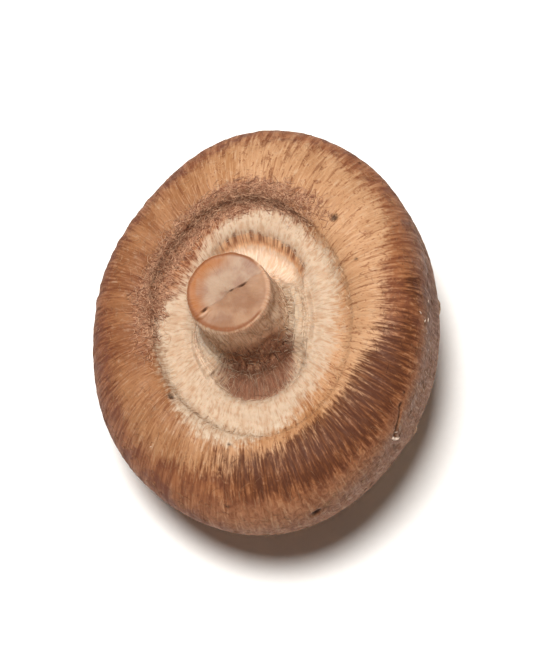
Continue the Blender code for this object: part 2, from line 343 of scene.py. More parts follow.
# How the colours lie round the margin, as (turn in degrees, value)
ringColours = {
    # Share of the way up the outside where gold takes over from brown
    "goldStart": (
        (0, 0.99), (15, 0.88), (32, 0.60), (60, 0.45), (90, 0.50), (110, 0.72), (150, 0.70),
        (180, 0.82), (205, 0.68), (228, 0.54), (248, 0.68), (268, 0.90), (285, 0.99), (345, 1.02),
    ),
    # How bright the gold is: painted light, bright where the margin's inside faces the light and dull on
    # the left where it faces away
    "glow": (
        (0, 0.9), (30, 0.9), (60, 0.85), (90, 0.85), (108, 0.5), (135, 0.15), (160, 0), (182, 0),
        (198, 0.05), (215, 0.2), (235, 0.4), (255, 0.65), (275, 0.8), (290, 0.7), (303, 0.7),
        (318, 0.9), (340, 0.95),
    ),
    # How much of the lit copy of the outside's brown shows round the ring: painted light, most at the top
    "litSide": (
        (0, 0.3), (15, 0.5), (35, 0.85), (90, 0.8), (112, 0.35), (160, 0.15), (195, 0.05), (225, 0.35),
        (255, 0.4), (285, 0.25), (345, 0.2),
    ),
    # How thick the dark down is, and where it starts, in mm down from the margin's crest
    "down": ((40, 0), (60, 0.6), (80, 1.0), (160, 1.0), (180, 0.75), (198, 0.4), (218, 0)),
    "downStart": ((60, -0.4), (95, 0.2), (115, 1.4), (150, 2.0), (168, 0.8), (200, 0.4)),
    # Where cream takes over, in mm past the ring where the veil meets the margin
    "creamStart": (
        (0, 1.4), (28, -0.6), (48, 0.8), (75, 0.4), (92, 1.8), (108, 3.0), (122, 3.6), (140, 3.8),
        (154, 3.2), (166, 1.4), (182, -0.8), (225, -1.6), (243, -4.2), (257, -4.6), (272, -2.8), (286, 0.6),
        (303, 2.2), (320, 2.0), (345, 1.6),
    ),
    # How much of the pit is stained brown and painted with the stem's shadow, and how far in from the torn
    # edge that begins, in mm
    "stainAndShade": ((228, 0), (248, 0.75), (258, 1), (318, 1), (332, 0.55), (346, 0)),
    "stainAndShadeStart": ((225, 2.4), (239, 1.8), (255, 0.7), (285, 0.7), (305, 2.2), (322, 3.8), (345, 4.4)),
    # How far the cottony veil climbs the stem, in mm past the floor of the pit
    "sleeve": (
        (0, 6.5), (35, 6.0), (58, 3.2), (120, 3.0), (175, 4.5), (198, 7.0), (225, 7.0), (248, 4.2),
        (300, 3.4), (325, 5.0),
    ),
}


def around(turn, label):
    degrees, values = zip(*ringColours[label])
    return np.interp(np.degrees(turn) % 360, degrees, values, period=360)


def innerMasks(along, turn):
    # The margin's inside and the veil's ring share these, so no seam shows where they meet
    creamStart = wallEnd + around(turn, "creamStart")
    downStart = lipEnd + around(turn, "downStart")
    down = around(turn, "down") * fade(along, downStart - 0.9, downStart + 1.1)
    return {
        "glow": around(turn, "glow") + 0 * along,
        "fuzz": down * fade(along, creamStart + 3.0, creamStart + 1.2),
        "cream": fade(along, creamStart - 3.2, creamStart + 1.4),
    }


# Materials


def linear(colour):
    values = [int(colour[i : i + 2], 16) / 255 for i in (1, 3, 5)]
    curve = [v / 12.92 if v <= 0.04045 else ((v + 0.055) / 1.055) ** 2.4 for v in values]
    return (*curve, 1.0)


def setInputs(tree, node, inputs):
    # Sockets are linked, hex colours and plain values are set
    for label, value in inputs.items():
        if isinstance(value, bpy.types.NodeSocket):
            tree.links.new(value, node.inputs[label])
        else:
            node.inputs[label].default_value = linear(value) if isinstance(value, str) else value


def addNode(tree, kind, inputs=None, **settings):
    node = tree.nodes.new(kind)
    for label, value in settings.items():
        setattr(node, label, value)
    setInputs(tree, node, inputs or {})
    return node


def newMaterial(name):
    material = bpy.data.materials.new(name)
    material.use_nodes = True
    tree = material.node_tree
    shader = tree.nodes["Principled BSDF"]
    shader.inputs["Specular IOR Level"].default_value = 0.22
    return material, tree, shader


def attribute(tree, label):
    return addNode(tree, "ShaderNodeAttribute", attribute_name=label)


def masksOf(tree, *labels):
    return [attribute(tree, label).outputs["Fac"] for label in labels]


def grain(tree, flow, stretch, detail=3.0, twist=0.0):
    # Noise along the growth: cells per mm round the stem and along it
    scaled = addNode(tree, "ShaderNodeVectorMath", {0: flow, 1: stretch}, operation="MULTIPLY")
    inputs = {"Vector": scaled.outputs[0], "Scale": 1.0, "Detail": detail, "Distortion": twist}
    return addNode(tree, "ShaderNodeTexNoise", inputs).outputs["Fac"]


def ranged(tree, value, low, high, toLow=0.0, toHigh=1.0):
    inputs = {"Value": value, "From Min": low, "From Max": high, "To Min": toLow, "To Max": toHigh}
    return addNode(tree, "ShaderNodeMapRange", inputs, interpolation_type="SMOOTHSTEP").outputs[0]


def sums(tree, first, second, operation="ADD"):
    return addNode(tree, "ShaderNodeMath", {0: first, 1: second}, operation=operation).outputs[0]


def blend(tree, share, first, second):
    inputs = {0: share, 6: first, 7: second}
    return addNode(tree, "ShaderNodeMix", inputs, data_type="RGBA").outputs[2]


def toned(tree, noise, low, high, first, second):
    return blend(tree, ranged(tree, noise, low, high), first, second)


def layered(tree, colour, *layers):
    # Each layer is a noise, where it starts and where it is full, its share there, and its colour
    for noise, start, full, most, over in layers:
        colour = blend(tree, ranged(tree, noise, start, full, 0.0, most), colour, over)
    return colour


def frayed(tree, edge, *noises):
    # A mask with noise added, each as what its low and its high values add
    for noise, low, high in noises:
        edge = sums(tree, edge, ranged(tree, noise, 0.3, 0.7, low, high))
    return edge


def dress(tree, shader, colour, height, bump, roughness, through, tint, reach):
    # Colour, fine relief and roughness, and how much light passes how far through the skin
    relief = addNode(tree, "ShaderNodeBump", {"Strength": bump, "Distance": 0.0003, "Height": height})
    inputs = {
        "Base Color": colour,
        "Normal": relief.outputs[0],
        "Roughness": roughness,
        "Subsurface Weight": through,
        "Subsurface Radius": tint,
        "Subsurface Scale": reach,
    }
    setInputs(tree, shader, inputs)


def grains(tree):
    flow = attribute(tree, "flow").outputs["Vector"]
    return {
        "broad": grain(tree, flow, (0.42, 0.42, 0.05)),
        "streak": grain(tree, flow, (2.0, 2.0, 0.2)),
        "felt": grain(tree, flow, (1.5, 1.5, 0.8), 3.0, 1.8),
        "fine": grain(tree, flow, (4.0, 4.0, 0.4)),
        "cloud": grain(tree, flow, (0.4, 0.4, 0.4), 5.0),
        "curd": grain(tree, flow, (1.3, 1.3, 1.0), 4.0),
    }


def innerColour(tree, grained):
    # Gold with dark hair-thin streaks, a shaded and a lit copy mixed by the glow as painted light, then
    # mottled brown under the down, then curdled cream
    glow, fuzz, cream = masksOf(tree, "glow", "fuzz", "cream")
    broad, streak, felt, fine, cloud, curd = grained.values()
    shadedGold = toned(tree, broad, 0.38, 0.62, "#724326", "#865736")
    litGold = toned(tree, broad, 0.38, 0.62, "#a4744b", "#b3865f")
    litGold = layered(tree, litGold, (glow, 0.72, 0.95, 0.42, "#c19a79"))
    light = blend(tree, glow, "#966440", "#c39a75")
    golden = layered(
        tree,
        blend(tree, glow, shadedGold, litGold),
        (fine, 0.45, 0.72, 0.75, light),
        (streak, 0.45, 0.3, 0.55, "#7a482a"),
        (felt, 0.43, 0.3, 0.75, "#7c4b2d"),
    )
    downy = layered(
        tree,
        toned(tree, curd, 0.38, 0.62, "#6c3d28", "#996746"),
        (fine, 0.45, 0.7, 0.7, "#b48a68"),
        (felt, 0.45, 0.3, 0.8, "#633725"),
    )
    pale = layered(
        tree,
        toned(tree, curd, 0.35, 0.65, "#a98c72", "#bca790"),
        (fine, 0.45, 0.7, 0.5, "#c6b5a2"),
        (cloud, 0.45, 0.7, 0.5, "#a98669"),
    )
    furEdge = frayed(tree, fuzz, (curd, 0.3, -0.3))
    paleEdge = frayed(tree, cream, (curd, -0.22, 0.22), (fine, -0.12, 0.12))
    return layered(tree, golden, (furEdge, 0.1, 0.9, 0.92, downy), (paleEdge, 0.05, 0.95, 1.0, pale))


def capSkin():
    # Suede-like skin: streaked gold on the rolled margin, brown outside it, grey-brown and downy
    # inside, tan with pale straps over the crown
    material, tree, shader = newMaterial("cap_skin")
    labels = ("gold", "litSide", "strap", "dark", "flank", "crown", "spot")
    gold, litSide, strap, dark, flank, crown, spot = masksOf(tree, *labels)
    grained = grains(tree)
    streak, felt, fine = (grained[label] for label in ("streak", "felt", "fine"))
    place = addNode(tree, "ShaderNodeTexCoord").outputs["Object"]
    mottle = grain(tree, place, (330, 330, 330), 5.0)
    speck = grain(tree, place, (1500, 1500, 1500), 2.0)

    # Outside of the margin: a shaded and a lit copy of one brown, mixed round the ring as painted light,
    # and a lighter brown low on the near flank as painted light bounced up from the floor
    shadowed = toned(tree, streak, 0.35, 0.65, "#61331d", "#7d492b")
    litBrown = toned(tree, streak, 0.35, 0.65, "#824c2e", "#a26b45")
    outside = layered(
        tree,
        blend(tree, litSide, shadowed, litBrown),
        (fine, 0.5, 0.75, 0.5, "#8f5d3a"),
        (mottle, 0.48, 0.66, 0.8, "#633523"),
        (felt, 0.58, 0.75, 0.6, "#9a6641"),
    )
    low = toned(tree, felt, 0.3, 0.7, "#77482e", "#99684a")
    low = layered(tree, low, (fine, 0.5, 0.75, 0.6, "#aa8262"))
    outside = blend(tree, flank, outside, low)
    tan = toned(tree, mottle, 0.35, 0.65, "#8c5c38", "#b28050")
    outside = blend(tree, crown, outside, tan)

    edge = frayed(tree, gold, (streak, -0.14, 0.14), (fine, -0.14, 0.14), (felt, -0.16, 0.16))
    colour = toned(tree, edge, 0.05, 0.95, outside, innerColour(tree, grained))
    band = frayed(tree, dark, (streak, 0.2, -0.24), (fine, 0.14, -0.16), (felt, 0.12, -0.14))
    umber = toned(tree, fine, 0.4, 0.7, "#4a240f", "#683a1a")
    colour = layered(tree, colour, (band, 0.1, 1.0, 0.92, umber))
    peach = toned(tree, mottle, 0.4, 0.65, "#b98a62", "#cfae88")
    colour = blend(tree, strap, colour, peach)
    freckle = sums(tree, ranged(tree, speck, 0.66, 0.74), ranged(tree, edge, 0.6, 0.2), "MULTIPLY")
    colour = blend(tree, sums(tree, freckle, 0.5, "MULTIPLY"), colour, "#3f2213")
    # Dark specks, the crack, and painted shade in the holes
    colour = blend(tree, spot, colour, "#2f180d")

    height = sums(tree, felt, sums(tree, fine, 0.6, "MULTIPLY"))
    sheen = ranged(tree, streak, 0.3, 0.7, 0.74, 0.55)
    dress(tree, shader, colour, height, 0.45, sheen, through=0.06, tint=(1.0, 0.5, 0.3), reach=0.001)
    return material


def veilCotton():
    # Torn cottony veil: cream, with a brown stain that is partly the stem's painted shadow and darkens as
    # painted shade deeper in the pit, a tan band of gill ends darkened as painted shade under the torn
    # edge, and a pale floor in the pit lightened as painted light
    material, tree, shader = newMaterial("veil_cotton")
    stainAndShade, deep, band, floor, gill = masksOf(tree, "stainAndShade", "deep", "band", "floor", "gill")
    grained = grains(tree)
    streak, fine, curd = (grained[label] for label in ("streak", "fine", "curd"))
    # Pale floor of the pit, pale flesh lightened as painted light, also where the stem's shadow falls at
    # the lower left
    pale = toned(tree, curd, 0.35, 0.65, "#bfa086", "#d2bba5")
    colour = blend(tree, floor, innerColour(tree, grained), pale)
    # Tan band under the torn edge: the gill ends' colour darkened as painted shade under the overhang, with
    # dark marks that are partly painted shade between the gills
    bandEdge = frayed(tree, band, (streak, -0.2, 0.2))
    wall = toned(tree, fine, 0.4, 0.65, "#bb8e6b", "#d9b18a")
    colour = toned(tree, bandEdge, 0.2, 0.9, colour, wall)
    colour = blend(tree, gill, colour, "#7b4e34")
    stainAndShadeEdge = frayed(tree, stainAndShade, (curd, -0.25, 0.25), (fine, -0.3, 0.3))
    brown = toned(tree, fine, 0.38, 0.65, "#87604a", "#ad846a")
    # Darker brown deeper in the pit, next to the stem: painted shade
    dark = toned(tree, fine, 0.38, 0.65, "#5f3a28", "#7c543f")
    brown = blend(tree, deep, brown, dark)
    colour = toned(tree, stainAndShadeEdge, 0.05, 0.95, colour, brown)
    height = sums(tree, curd, sums(tree, fine, 0.5, "MULTIPLY"))
    dress(tree, shader, colour, height, 0.35, 0.85, through=0.2, tint=(1.0, 0.55, 0.35), reach=0.0015)
    return material


def stemFlesh():
    # Stem: pinkish fibrous skin, stained brown and painted with shade at the foot, lightened with painted
    # light on its shaded sides, round a pale moist cut with a brown rim
    material, tree, shader = newMaterial("stem_flesh")
    labels = ("cut", "rim", "amber", "lower", "split", "stainAndShade", "ridge", "pale")
    cut, rim, amber, lower, split, stainAndShade, ridge, pale = masksOf(tree, *labels)
    flow = attribute(tree, "flow").outputs["Vector"]
    place = addNode(tree, "ShaderNodeTexCoord").outputs["Object"]
    cloud = grain(tree, place, (300, 300, 300), 5.0)
    moist = grain(tree, place, (700, 700, 700), 3.0)
    fibre = grain(tree, flow, (3.6, 3.6, 0.35))
    skin = toned(tree, fibre, 0.35, 0.65, "#cb9a79", "#ebc4a4")
    skin = layered(tree, skin, (cloud, 0.45, 0.7, 0.5, "#cd9c7a"))
    # A lighter skin laid on the shaded sides as painted light
    litSkin = toned(tree, fibre, 0.35, 0.6, "#c19a78", "#e0c5aa")
    skin = blend(tree, pale, skin, litSkin)
    stainedAndShaded = toned(tree, fibre, 0.35, 0.65, "#85563f", "#b58668")
    skin = toned(tree, frayed(tree, stainAndShade, (fibre, -0.3, 0.3)), 0.1, 0.9, skin, stainedAndShaded)
    flesh = toned(tree, cloud, 0.38, 0.62, "#906e5a", "#a48871")
    flesh = layered(tree, flesh, (moist, 0.5, 0.7, 0.4, "#ab927c"))
    tanner = toned(tree, cloud, 0.38, 0.62, "#896248", "#9b7559")
    for mask, over in ((lower, tanner), (amber, "#995c29"), (ridge, "#b8947a")):
        flesh = blend(tree, mask, flesh, over)
    colour = skin
    for mask, over in ((cut, flesh), (rim, "#78431f"), (split, "#43210f")):
        colour = blend(tree, mask, colour, over)
    height = sums(tree, fibre, cloud)
    sheen = ranged(tree, cut, 0, 1, 0.75, 0.5)
    dress(tree, shader, colour, height, 0.4, sheen, through=0.15, tint=(1.0, 0.5, 0.3), reach=0.0015)
    return material


def hairMaterial(name, dark, light):
    # Single fibres, each its own shade, darker at the root
    material, tree, shader = newMaterial(name)
    tone, share = masksOf(tree, "tone", "share")
    colour = blend(tree, tone, dark, light)
    shade = ranged(tree, share, 0.0, 0.45, 0.78, 1.0)
    colour = addNode(tree, "ShaderNodeVectorMath", {0: colour, "Scale": shade}, operation="SCALE")
    setInputs(tree, shader, {"Base Color": colour.outputs[0], "Roughness": 0.7})
    return material


# The cap

cap = {
    "columns": 540,
    "domeRows": 84,
    "marginRows": 92,
    "hiddenRows": 6,
    "hiddenDepth": 1.5,
    "plateCount": 13,
    "plateSpacing": 6.6,
    "plateJitter": 1.8,
    "netReach": 23,
    "bandHalfWidth": 1.1,
    "bandHeight": 0.55,
    "bandEdge": 0.5,
    "crownTop": -8,
    "spindleCount": 11,
    "spindleStart": 16,
    "spindleLength": 16,
    "spindleHalfWidth": 1.5,
    "seed": 23,
    "marginFibres": (61, 43, 79, 34),
    "marginFibreHeight": 0.13,
    "streakHeight": 0.22,
    "pebbleHeight": 0.16,
    "restReach": 9.5,
    "restTurn": 220,
    "pressedRadius": 6.5,
    "nickTurn": -43,
    "nickHalfTurn": 1.8,
    "nickHeight": -1.5,
    "nickHalfHeight": 3.4,
    "nickDepth": 0.45,
    "ruddyPatches": ((349, 0.68), (336, 0.73), (4, 0.55)),  # turn, share of the margin's height
    "crackTop": (325.5, 6.1),  # turn, and mm up from the widest ring
    "crackFoot": (318, 2.4),
    "crackHalfWidth": 0.5,
    "crackDepth": 0.45,
}

# Small holes and specks on the margin, dark partly as painted shade in the holes: turn in degrees,
# share of the way up the margin's outside or past it down the inside, radius and depth in mm
marginSpots = (
    (44, 1.05, 0.75, 0.35),
    (229.5, 1.2, 0.85, 0.25),
    (54.5, 0.22, 0.35, 0.15),
    (263.7, 1.08, 0.35, 0.15),
    (263.7, 0.41, 0.35, 0.15),
    (287.5, 0.14, 0.9, 0.5),
    (20, 1.1, 0.3, 0.1),
    (150, 0.3, 0.4, 0.15),
    (200, 0.35, 0.35, 0.12),
    (330, 0.5, 0.35, 0.12),
)


def plateNet(x, y, reach, random):
    # Bands halfway between the two nearest of a jittered sunflower spiral of plate middles
    number = np.arange(cap["plateCount"])
    golden = math.pi * (3 - math.sqrt(5))
    middles = cap["plateSpacing"] * np.sqrt(number + 0.6)[:, None] * np.stack(
        [np.cos(number * golden), np.sin(number * golden)], 1
    )
    middles += random.uniform(-cap["plateJitter"], cap["plateJitter"], middles.shape)
    nearest = np.full(x.shape, 1e9)
    second = np.full(x.shape, 1e9)
    for middle in middles:
        apart = np.hypot(x - middle[0], y - middle[1])
        second = np.minimum(second, np.maximum(nearest, apart))
        nearest = np.minimum(nearest, apart)
    edge = (second - nearest) / 2
    band = fade(edge, cap["bandHalfWidth"] + cap["bandEdge"], cap["bandHalfWidth"])
    return band * fade(reach, cap["netReach"], cap["netReach"] - 5)


def spindleBands(turn, reach, random):
    # Long tapered bands that run out from the net towards the margin
    total = np.zeros_like(turn)
    for number in range(cap["spindleCount"]):
        aim = 360 * (number + random.uniform(-0.3, 0.3)) / cap["spindleCount"]
        start = cap["spindleStart"] + random.uniform(-3, 4)
        length = cap["spindleLength"] * random.uniform(0.6, 1.25)
        slant = math.radians(random.uniform(-9, 9))
        share = (reach - start) / length
        aside = (np.radians(turnFrom(turn, aim)) - slant * (share - 0.5)) * reach
        inside = np.clip(share, 0, 1)
        half = cap["spindleHalfWidth"] * np.sin(math.pi * inside) ** 0.6 * (1 - 0.35 * inside)
        total = np.maximum(total, fade(np.abs(aside), half + cap["bandEdge"], half) * (half > 0.1))
    return total


def spotMask(along, turn):
    # 1 in the middle of a spot, 0 outside, and how deep it goes
    mask = np.zeros(np.broadcast(along, turn).shape)
    depth = np.zeros_like(mask)
    ring = outlineAt(along)[0]
    wobble = 1 + 0.35 * (latticeNoise(60 * np.cos(turn), 60 * np.sin(turn), along * 3, 77) - 0.5)
    for degrees, share, radius, deep in marginSpots:
        middle = domeEnd + share * (lipEnd - domeEnd)
        apart = np.hypot(np.radians(turnFrom(turn, degrees)) * ring, along - middle) * wobble
        inside = fade(apart, radius, 0.35 * radius)
        mask = np.maximum(mask, inside)
        depth = np.maximum(depth, deep * inside)
    return mask, depth


def capSurface(along, turn):
    # Height above the smooth skin in mm: pale bands, margin fibres, streaks and pebbling, less
    # nick, crack and spots. Then the masks that colour it
    random = np.random.default_rng(cap["seed"])
    along, turn = np.broadcast_arrays(along, turn)
    radius, height = outlineAt(along)
    ragged = 0.9 * (streakNoise(turn, along, 0.9, 0.9, 5) - 0.5)
    x = along * np.cos(turn)
    y = along * np.sin(turn)
    strap = np.maximum(
        plateNet(x + ragged, y - ragged, along, random), spindleBands(turn, along, random)
    )
    restX = cap["restReach"] * math.cos(math.radians(cap["restTurn"]))
    restY = cap["restReach"] * math.sin(math.radians(cap["restTurn"]))
    fromRest = np.hypot(x - restX, y - restY)
    low = (along < domeEnd) * fade(height, cap["crownTop"], cap["crownTop"] - 4)
    strap = strap * low
    raised = strap * fade(fromRest, cap["pressedRadius"], cap["pressedRadius"] + 4)

    counts = cap["marginFibres"]
    twist = random.uniform(-2.5, 2.5, len(counts))
    phase = random.uniform(0, 2 * math.pi, len(counts))
    fibres = sum(
        np.cos(n * turn + p + t * along / 10) for n, p, t in zip(counts, phase, twist)
    ) / len(counts)
    onMargin = fade(height, -2, 6) * fade(radius, form["veilRadius"] - 2, form["lipRadius"])
    streak = streakNoise(turn, along, 0.7, 4.5, 11) - 0.5
    nick = nearTurn(turn, cap["nickTurn"], cap["nickHalfTurn"], 0.2)
    nick = nick * fade(np.abs(height - cap["nickHeight"]), cap["nickHalfHeight"], 1.5)
    nick = nick * (along < lipEnd)
    spot, depth = spotMask(along, turn)
    (topTurn, top), (footTurn, foot) = cap["crackTop"], cap["crackFoot"]
    climb = np.clip((along - domeEnd - foot) / (top - foot), 0, 1)
    aside = np.radians(turnFrom(turn, footTurn) - climb * (topTurn - footTurn)) * radius
    beyond = along - domeEnd - foot - climb * (top - foot)
    half = cap["crackHalfWidth"] * (1 - 0.4 * climb)
    crack = fade(np.hypot(aside + 0.3 * np.sin(5 * climb), beyond), half + 0.25, 0.1)
    pebbled = solidNoise(smoothSkin(along, turn), 1.6, 41) - 0.5
    relief = (
        cap["bandHeight"] * raised * (1 + 0.5 * pebbled)
        + cap["marginFibreHeight"] * onMargin * fibres
        + cap["streakHeight"] * (0.3 + 0.4 * fade(height, 2, 8)) * fade(height, -16, -6) * streak
        + cap["pebbleHeight"] * pebbled * fade(height, -4, -12)
        - cap["nickDepth"] * nick
        - cap["crackDepth"] * crack
        - depth
    )

    upShare = (along - domeEnd) / (lipEnd - domeEnd)
    start = around(turn, "goldStart")
    near = nearTurn(turn, 306, 62, 30)
    dark = near * fade(upShare, 0.36, 0.74)
    dark = dark * fade(upShare - 0.3 * nearTurn(turn, 311, 32, 12), 1.20, 0.84)
    # Lighter low on the near flank: painted light bounced up from the floor
    flank = near * fade(upShare, 0.62, 0.3) * fade(upShare, -0.9, -0.2)
    for patchTurn, patchShare in cap["ruddyPatches"]:
        across = turnFrom(turn, patchTurn) / 8
        patch = np.exp(-(across**2) - ((upShare - patchShare) / 0.13) ** 2)
        dark = np.maximum(dark, 0.9 * patch)
    edges = fade(strap, 0, 0.3) * fade(strap, 0.7, 0.35)
    masks = {
        "gold": fade(upShare, start - 0.26, start + 0.16),
        "dark": np.maximum(dark, 0.8 * edges) * fade(along, lipEnd + 3.5, lipEnd + 0.5),
        "flank": flank,
        "litSide": around(turn, "litSide"),
        "crown": fade(height, -3, -15),
        "strap": fade(strap, 0.35, 0.85),
        "spot": np.maximum(0.85 * spot, 0.45 * crack),
        "flow": flowOf(along, turn),
        **innerMasks(along, turn),
    }
    return relief, masks


def makeCap():
    domeRows = domeEnd * (np.arange(1, cap["domeRows"]) / cap["domeRows"]) ** 0.85
    marginRows = np.linspace(domeEnd, wallEnd + 0.6, cap["marginRows"])
    along = np.concatenate([domeRows, marginRows])[:, None]
    turn = turnsOf(cap["columns"])
    relief, masks = capSurface(along, turn)
    points = lifted(along, turn, relief)
    # Shut below the veil, out of sight
    sink = np.linspace(0, 1, cap["hiddenRows"] + 1)[1:, None, None]
    last = points[-1:]
    hidden = last * np.concatenate([1 - 0.96 * sink, 1 - 0.96 * sink, 0 * sink], 2)
    depth = cap["hiddenDepth"]
    hidden[..., 2] = (last[..., 2] - depth) * (1 - sink[..., 0]) - depth * sink[..., 0]
    points = np.concatenate([points, hidden])
    masks = {
        label: np.concatenate([values, np.repeat(values[-1:], cap["hiddenRows"], axis=0)])
        for label, values in masks.items()
    }
    return closedGrid("cap", points, masks, capSkin())


makeCap()

# The veil's remains, from the margin's inside over the torn edge and down to the stem

veil = {
    "columns": 620,
    "rows": 132,
    "overlap": 3.4,
    "pitFibres": (51, 38, 64),
    "pitFibreHeight": 0.12,
    "wispHeight": 0.16,
    "lumpHeight": 0.22,
    "edgeDepth": 0.32,
    "spreadHeight": 0.4,
    "crossingHeight": 1.1,
    "sleeveHeight": 0.25,
    "thickness": 1.4,
    "gillTurn": 74,
    "gillHalfTurn": 48,
    "gillDepth": 0.2,
}


def veilSurface(along, turn):
    # Height above the smooth skin in mm: sunk at its outer edge, then wisps and lumps, fibres on
    # the pit's wall and a sleeve on the stem, less the gill ends. Then the masks that colour it
    random = np.random.default_rng(cap["seed"] + 4)
    along, turn = np.broadcast_arrays(along, turn)
    radius, height = outlineAt(along)
    wispy = streakNoise(turn, along, 0.6, 2.6, 61) - 0.5
    lumps = solidNoise(smoothSkin(along, turn), 2.6, 67) - 0.5
    edge = wallEnd - veil["overlap"] + 3.2 * streakNoise(turn, along, 0.8, 9, 71)
    edge = edge + 1.4 * (ringNoise(turn, 2.6, 72) - 0.5)
    edge = edge - 1.0 * nearTurn(turn, 20, 60, 20)
    edge = edge + 1.0 * nearTurn(turn, 120, 70, 30)
    spread = fade(along, edge - 0.6, edge + 2.4)
    counts = veil["pitFibres"]
    phase = random.uniform(0, 2 * math.pi, len(counts))
    fibres = sum(np.cos(n * turn + p) for n, p in zip(counts, phase)) / len(counts)
    onWall = fade(np.abs(radius - 10.6), 1.6, 0.3) * (height < 6)
    relief = (
        -veil["edgeDepth"]
        + veil["spreadHeight"] * spread
        + veil["wispHeight"] * wispy * spread
        + veil["lumpHeight"] * lumps * spread
        + veil["pitFibreHeight"] * onWall * fibres
    )
    # It climbs the stem as a sleeve, thick at the foot where it crosses the pit, and dips into
    # the stem past its own torn top
    sleeveEnd = pitFloor + around(turn, "sleeve")
    crossing = fade(around(turn, "sleeve"), 4.4, 6.4)
    relief = relief + veil["crossingHeight"] * crossing * np.exp(-(((along - pitFloor - 2.4) / 1.7) ** 2))
    ragged = sleeveEnd + 2.4 * (streakNoise(turn, 0 * along, 0.5, 1, 79) - 0.5)
    onStem = fade(along, pitFloor + 1.5, pitFloor + 3)
    relief = relief + 0.45 * crossing * lumps * fade(along, torn - 1.5, torn + 0.5)
    relief = relief + veil["sleeveHeight"] * onStem - 0.95 * fade(along, ragged - 1.4, ragged + 0.6)

    stainAndShadeStart = torn + around(turn, "stainAndShadeStart")
    # Brown stain in the pit, partly real and partly the stem's shadow painted on
    stainAndShade = around(turn, "stainAndShade") * fade(along, stainAndShadeStart - 1.8, stainAndShadeStart + 1.6)
    stainAndShade = stainAndShade * (1 - 0.9 * (along > pitFloor) * fade(height, 6.5, 13.0))
    # The band of gill ends under the torn edge, darkened as painted shade, and dark gill marks, the gills'
    # edges with painted shade between them
    crescent = nearTurn(turn, veil["gillTurn"], veil["gillHalfTurn"], veil["gillHalfTurn"] - 22)
    band = crescent * fade(along, torn - 1.3, torn - 0.3) * fade(along, torn + 2.2, torn + 0.6)
    teeth = streakNoise(turn, 0 * along, 0.34, 1, 75)
    reach = 0.5 + 1.0 * ringNoise(turn, 14, 73)
    gill = crescent * fade(teeth, 0.46, 0.66) * fade(along, torn - reach - 0.3, torn - reach + 0.3)
    gill = gill * fade(along, torn + 1.3, torn + 0.1)
    relief = relief - veil["gillDepth"] * gill
    masks = {
        "stainAndShade": stainAndShade,
        # Painted shade: darker deeper in the pit
        "deep": fade(along, torn - 0.2, torn + 2.6),
        "band": band,
        # Pale floor, lightened as painted light: in the lit crescent, and by the torn edge at the lower
        # left
        "floor": np.maximum(
            nearTurn(turn, 82, 42, 28) * fade(along, torn + 0.9, torn + 2.2),
            0.8 * nearTurn(turn, 203, 34, 8) * fade(along, torn - 0.6, torn + 0.6),
        ),
        "gill": 0.85 * gill,
        "flow": flowOf(along, turn),
        **innerMasks(along, turn),
    }
    return relief, masks


def makeVeil():
    start = wallEnd - veil["overlap"] - 1.2
    along = np.linspace(start, pitFloor + 9.5, veil["rows"])[:, None]
    turn = turnsOf(veil["columns"])
    relief, masks = veilSurface(along, turn)
    normal = skinNormal(along, turn)
    top = smoothSkin(along, turn) + relief[..., None] * normal
    # An underside of a few rows joins the ends out of sight
    back = np.linspace(veil["rows"] - 1, 0, 8).astype(int)
    under = top[back] - veil["thickness"] * normal[back]
    points = np.concatenate([top, under])
    masks = {label: np.concatenate([values, values[back]]) for label, values in masks.items()}
    return closedGrid("veil", points, masks, veilCotton(), topPole=False)


makeVeil()

# The stem and its cut

stem = {
    "columns": 300,
    "rows": 150,
    "fibreHeight": 0.2,
    "lumpHeight": 0.3,
    "ridgeHeight": 0.3,
    "splitTurn": 32,
    "splitShift": -0.3,
    "splitDepth": 0.5,
}


